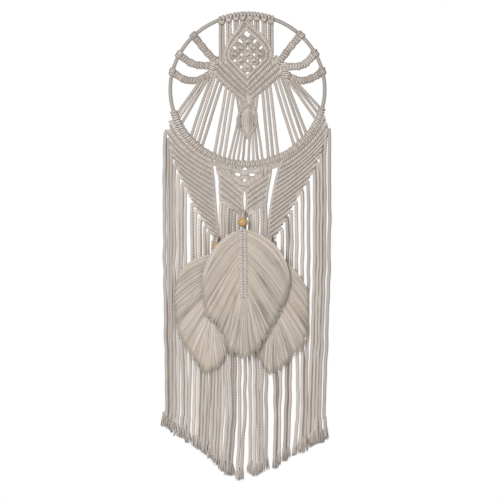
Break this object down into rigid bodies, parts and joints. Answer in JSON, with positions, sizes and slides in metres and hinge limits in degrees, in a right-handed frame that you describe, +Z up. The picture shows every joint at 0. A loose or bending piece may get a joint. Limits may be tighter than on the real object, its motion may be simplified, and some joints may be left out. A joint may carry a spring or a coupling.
{
  "type": "macrame wall hanging on a hoop",
  "caption": "Knotted cotton wall hanging on a round hoop, with a netted diamond, fanned cords, barred wings, combed feather tassels, wooden beads and a long straight fringe.",
  "frame": {"origin": "under the top wire of the hoop, at its middle, where the nail carries it", "axes": "+X to the right as seen from the front, +Y towards the wall, +Z up; the front faces -Y"},
  "size_m": [0.2656, 0.034, 0.7408],
  "materials": {
    "cotton_cord": "matt twisted cotton cord, greige",
    "combed_cotton": "combed-out cotton fibre, soft matt, warm greige",
    "hoop_wrap": "wire hoop wound with fine cord, matt grey-beige",
    "bead_wood": "honey-coloured wood, satin varnish"
  },
  "bodies": {
    "root": {"hoop": "hoop_wrap", "macrame_net": "cotton_cord", "fringe_left": "cotton_cord", "fringe_centre": "cotton_cord", "fringe_right": "cotton_cord", "leaf_front": "combed_cotton", "leaf_left": "combed_cotton", "leaf_right": "combed_cotton", "bead_centre": "bead_wood", "bead_left": "bead_wood", "bead_right": "bead_wood"}
  },
  "joints": []
}
